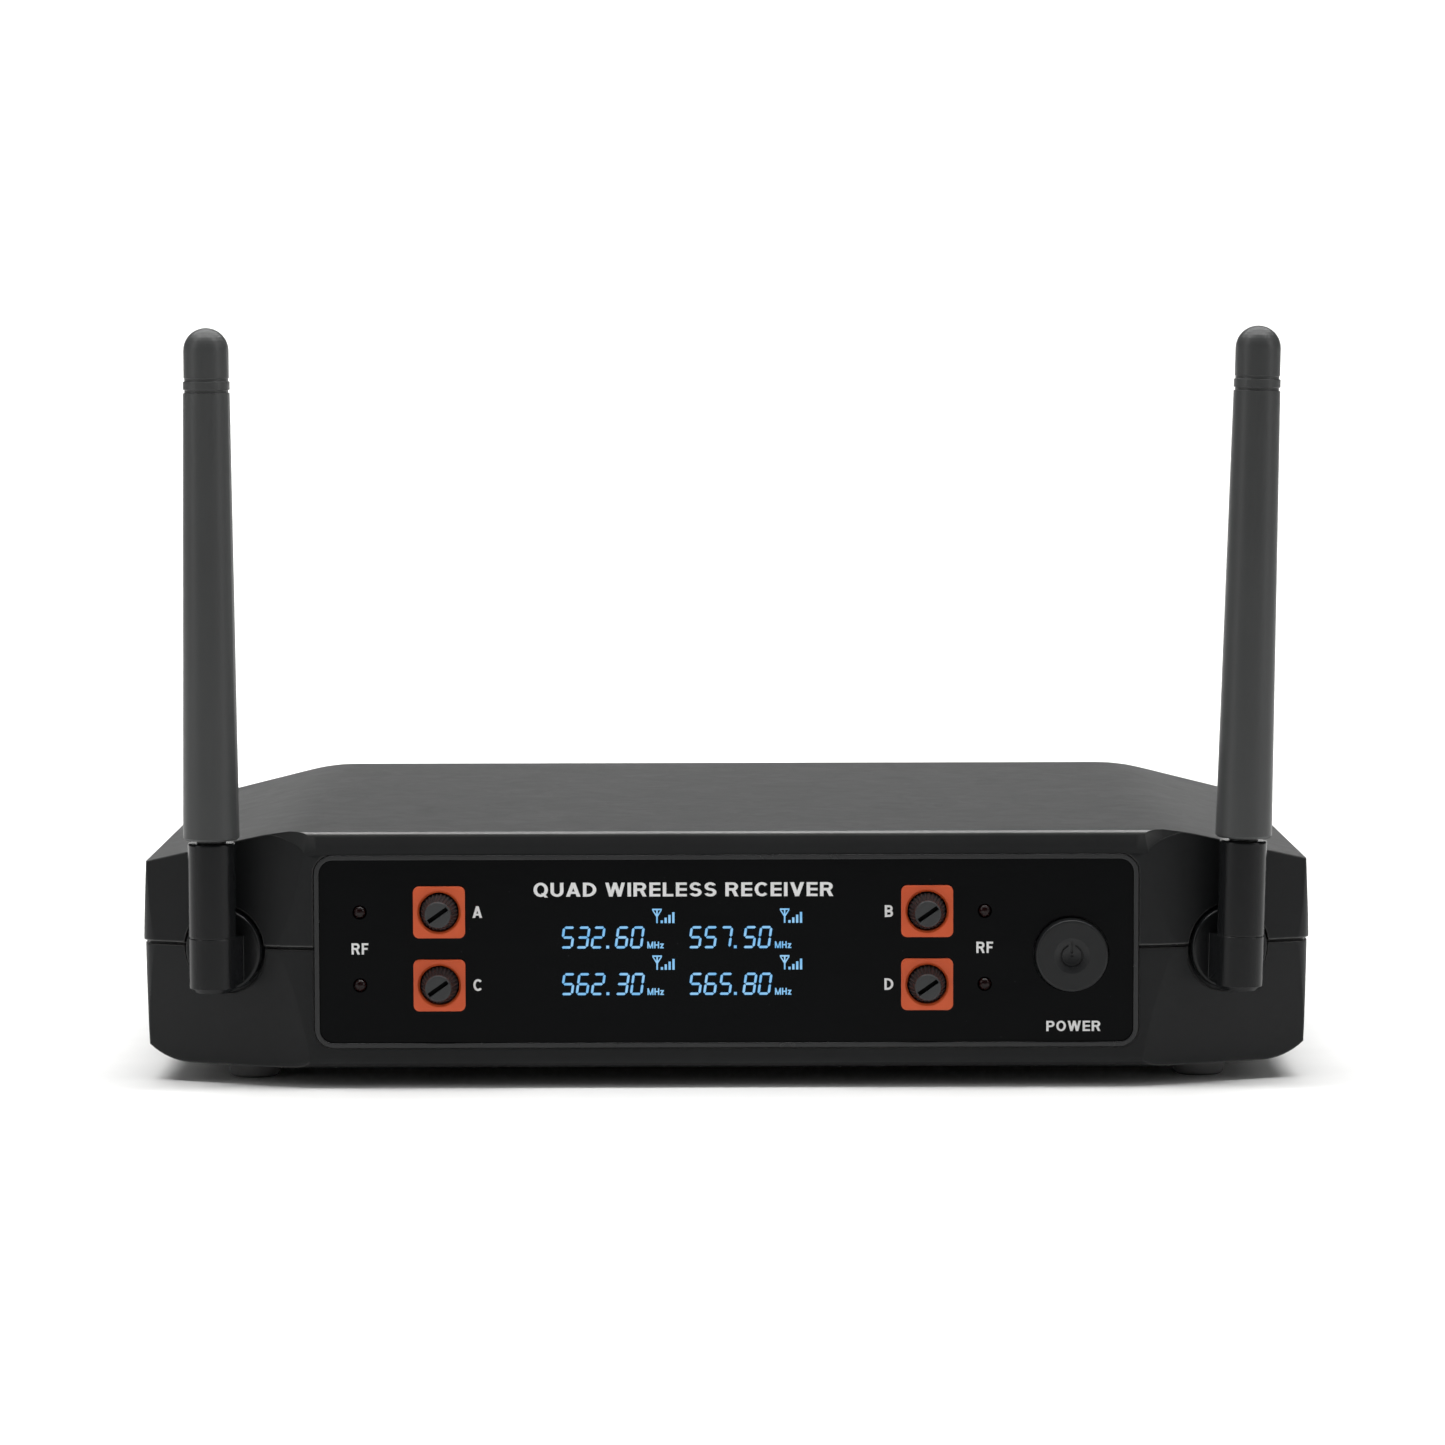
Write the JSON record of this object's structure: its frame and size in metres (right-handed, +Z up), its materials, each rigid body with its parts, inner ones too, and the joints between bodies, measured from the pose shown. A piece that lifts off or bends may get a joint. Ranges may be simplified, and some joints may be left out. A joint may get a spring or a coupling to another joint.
{
  "type": "wireless microphone receiver",
  "caption": "Half-rack wireless microphone receiver: two-part moulded case, gloss display panel, knurled volume controls, power button, rear audio outputs and swivelling front antennas",
  "frame": {"origin": "under the middle of the whole unit, on the plane that the feet stand on", "axes": "+X to the right seen from the front, +Y from the front panel to the rear sockets, +Z up"},
  "size_m": [0.26, 0.1733, 0.1675],
  "materials": {
    "case_plastic": "fine moulded texture",
    "bezel_plastic": "satin",
    "panel_acrylic": "polished",
    "rear_plastic": "satin",
    "display_metal": "plated",
    "board_laminate": "solder mask",
    "tin_plate": "bright plated",
    "cable_sheath": "extruded",
    "button_plastic": "satin",
    "switch_nylon": "moulded",
    "component_plastic": "moulded",
    "surround_orange": "moulded",
    "knob_plastic": "moulded",
    "shaft_steel": "zinc plated",
    "led_red": "clear dyed",
    "socket_shell": "moulded",
    "antenna_plastic": "satin",
    "foot_rubber": "matt"
  },
  "bodies": {
    "case": {"top_shell": "case_plastic", "bottom_shell": "case_plastic", "rear_plate": "rear_plastic", "panel_bezel": "bezel_plastic", "front_panel": "panel_acrylic", "display_module": "display_metal", "front_board": "board_laminate", "main_board": "board_laminate", "rf_shields": "tin_plate", "ribbon_cable": "cable_sheath", "power_switch": "component_plastic", "knob_surround_a": "surround_orange", "knob_surround_b": "surround_orange", "knob_surround_c": "surround_orange", "knob_surround_d": "surround_orange", "potentiometer_a": "component_plastic", "potentiometer_b": "component_plastic", "potentiometer_c": "component_plastic", "potentiometer_d": "component_plastic", "rf_led_a": "led_red", "rf_led_b": "led_red", "rf_led_c": "led_red", "rf_led_d": "led_red", "xlr_output_a": "socket_shell", "xlr_output_b": "socket_shell", "xlr_output_c": "socket_shell", "xlr_output_d": "socket_shell", "xlr_pins": "tin_plate", "mix_jack": "component_plastic", "mix_jack_nut": "tin_plate", "dc_inlet": "component_plastic", "antenna_lead_left": "cable_sheath", "antenna_lead_right": "cable_sheath", "foot_front_left": "foot_rubber", "foot_front_right": "foot_rubber", "foot_rear_left": "foot_rubber", "foot_rear_right": "foot_rubber", "case_screws": "shaft_steel", "board_screws": "shaft_steel", "xlr_screws": "shaft_steel"},
    "antenna_left": {"antenna_whip_left": "antenna_plastic", "antenna_elbow_left": "antenna_plastic", "antenna_washer_left": "tin_plate", "antenna_clip_left": "tin_plate"},
    "antenna_right": {"antenna_whip_right": "antenna_plastic", "antenna_elbow_right": "antenna_plastic", "antenna_washer_right": "tin_plate", "antenna_clip_right": "tin_plate"},
    "volume_a": {"volume_knob_a": "knob_plastic", "pot_shaft_a": "shaft_steel"},
    "volume_b": {"volume_knob_b": "knob_plastic", "pot_shaft_b": "shaft_steel"},
    "volume_c": {"volume_knob_c": "knob_plastic", "pot_shaft_c": "shaft_steel"},
    "volume_d": {"volume_knob_d": "knob_plastic", "pot_shaft_d": "shaft_steel"},
    "power": {"power_button": "button_plastic", "switch_plunger": "switch_nylon"}
  },
  "joints": [
    {"name": "antenna_left_swivel", "type": "hinge", "parent": "case", "child": "antenna_left", "pos_m": [-0.1112, -0.07519, 0.0303], "axis": [-0.342, -0.9397, 0], "range_deg": [-45, 90]},
    {"name": "antenna_right_swivel", "type": "hinge", "parent": "case", "child": "antenna_right", "pos_m": [0.1112, -0.07519, 0.0303], "axis": [-0.342, 0.9397, 0], "range_deg": [-46.5, 88.5]},
    {"name": "volume_a_turn", "type": "hinge", "parent": "case", "child": "volume_a", "pos_m": [-0.0632, -0.08085, 0.0392], "axis": [0, 1, 0], "range_deg": [-205, 95]},
    {"name": "volume_b_turn", "type": "hinge", "parent": "case", "child": "volume_b", "pos_m": [0.0442, -0.08085, 0.0392], "axis": [0, 1, 0], "range_deg": [-205, 95]},
    {"name": "volume_c_turn", "type": "hinge", "parent": "case", "child": "volume_c", "pos_m": [-0.0632, -0.08085, 0.023], "axis": [0, 1, 0], "range_deg": [-205, 95]},
    {"name": "volume_d_turn", "type": "hinge", "parent": "case", "child": "volume_d", "pos_m": [0.0442, -0.08085, 0.023], "axis": [0, 1, 0], "range_deg": [-205, 95]},
    {"name": "power_press", "type": "slide", "parent": "case", "child": "power", "axis": [0, 1, 0], "range_m": [0, 0.002], "stiffness_N_per_m": 900, "springref_m": -0.001}
  ]
}
